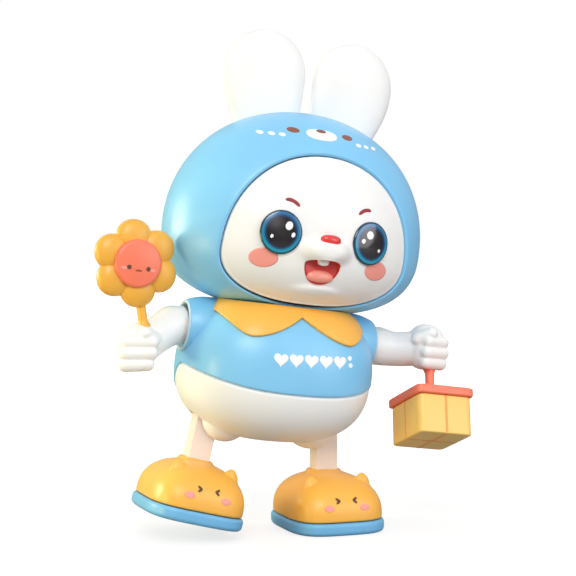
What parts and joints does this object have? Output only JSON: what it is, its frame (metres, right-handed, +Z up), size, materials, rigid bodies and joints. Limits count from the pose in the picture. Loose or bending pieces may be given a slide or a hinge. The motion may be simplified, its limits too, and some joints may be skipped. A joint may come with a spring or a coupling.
{
  "type": "walking rabbit toy",
  "caption": "Toy rabbit in a round hood and shirt that rocks on hinged legs, holding a flower wand and a small gift box, with arms that swing.",
  "frame": {"origin": "centre of the overall plan box, on the floor plane that the left sole stands on", "axes": "+Z up, -Y the way the toy faces, +X towards the toy's own left hand, the one with the gift box"},
  "size_m": [0.1624, 0.092, 0.2177],
  "materials": {
    "blue_plastic": "satin moulded ABS, sky blue",
    "white_plastic": "satin moulded ABS, white",
    "orange_plastic": "satin moulded ABS, orange yellow",
    "sole_plastic": "soft-touch plastic, mid blue",
    "yellow_plastic": "satin moulded ABS, warm yellow",
    "coral_plastic": "satin moulded ABS, coral",
    "eye_gloss": "glossy printed insert",
    "nose_gloss": "glossy red",
    "grey_plastic": "plain moulded, grey",
    "knob_black": "plain moulded, black",
    "speaker_black": "paper cone in a black basket",
    "board_green": "solder mask",
    "cell_sleeve": "shrink sleeve, plain dark",
    "steel": "bright zinc plated"
  },
  "bodies": {
    "torso": {"hood_front": "blue_plastic", "hood_back": "blue_plastic", "hood_screw_1": "steel", "hood_screw_2": "steel", "hood_screw_3": "steel", "hood_screw_4": "steel", "eye_left": "eye_gloss", "eye_right": "eye_gloss", "face_plate": "white_plastic", "nose": "nose_gloss", "ear_left": "white_plastic", "ear_right": "white_plastic", "neck_tube": "grey_plastic", "speaker": "speaker_black", "shirt_shell": "blue_plastic", "belly_shell": "white_plastic", "collar": "orange_plastic", "sleeve_left": "blue_plastic", "sleeve_right": "blue_plastic", "hip_pin_left": "steel", "hip_pin_right": "steel", "chassis_plate": "grey_plastic", "gear_case": "grey_plastic", "motor": "steel", "circuit_board": "board_green", "battery_tray": "grey_plastic", "cell_1": "cell_sleeve", "cell_2": "cell_sleeve", "contact_left": "steel", "contact_right": "steel", "switch_body": "grey_plastic", "hip_cover_left": "white_plastic", "hip_cover_right": "white_plastic"},
    "door": {"battery_door": "blue_plastic", "door_screw": "steel"},
    "right_arm": {"arm_right": "white_plastic", "arm_stop_right": "grey_plastic", "arm_screw_right": "steel", "flower_wand": "orange_plastic", "flower_disc": "coral_plastic"},
    "left_arm": {"arm_left": "white_plastic", "arm_stop_left": "grey_plastic", "arm_screw_left": "steel", "gift_lid": "coral_plastic", "gift_box": "yellow_plastic"},
    "left_leg": {"leg_left": "white_plastic", "shoe_left": "orange_plastic", "sole_left": "sole_plastic", "sole_screw_left": "steel"},
    "right_leg": {"leg_right": "white_plastic", "shoe_right": "orange_plastic", "sole_right": "sole_plastic", "sole_screw_right": "steel"},
    "cam": {"cam_shaft": "white_plastic"},
    "switch": {"switch_knob": "knob_black"}
  },
  "joints": [
    {"name": "left_hip", "type": "hinge", "parent": "torso", "child": "left_leg", "pos_m": [0.0253, 0.00374, 0.06], "axis": [0, 1, 0], "range_deg": [-3.5, 7]},
    {"name": "right_hip", "type": "hinge", "parent": "torso", "child": "right_leg", "pos_m": [-0.02532, 0.00374, 0.06621], "axis": [0, -1, 0], "range_deg": [-3.5, 7]},
    {"name": "right_shoulder", "type": "hinge", "parent": "torso", "child": "right_arm", "pos_m": [-0.03703, 0.00174, 0.08982], "axis": [0.9925, 0, -0.1219], "range_deg": [-10, 25]},
    {"name": "left_shoulder", "type": "hinge", "parent": "torso", "child": "left_arm", "pos_m": [0.04238, 0.00174, 0.08007], "axis": [0.9925, 0, -0.1219], "range_deg": [-25, 25]},
    {"name": "cam_turn", "type": "hinge", "parent": "torso", "child": "cam", "pos_m": [-0.00135, 0.00174, 0.05219], "axis": [0, 1, 0], "continuous": true},
    {"name": "door_lift", "type": "slide", "parent": "torso", "child": "door", "axis": [0, 1, 0], "range_m": [0, 0.03]},
    {"name": "power_slide", "type": "slide", "parent": "torso", "child": "switch", "axis": [0.9925, 0, -0.1219], "range_m": [0, 0.003]}
  ],
  "couplings": [
    {"joint": "right_hip", "follows": "left_hip", "ratio": 1}
  ]
}
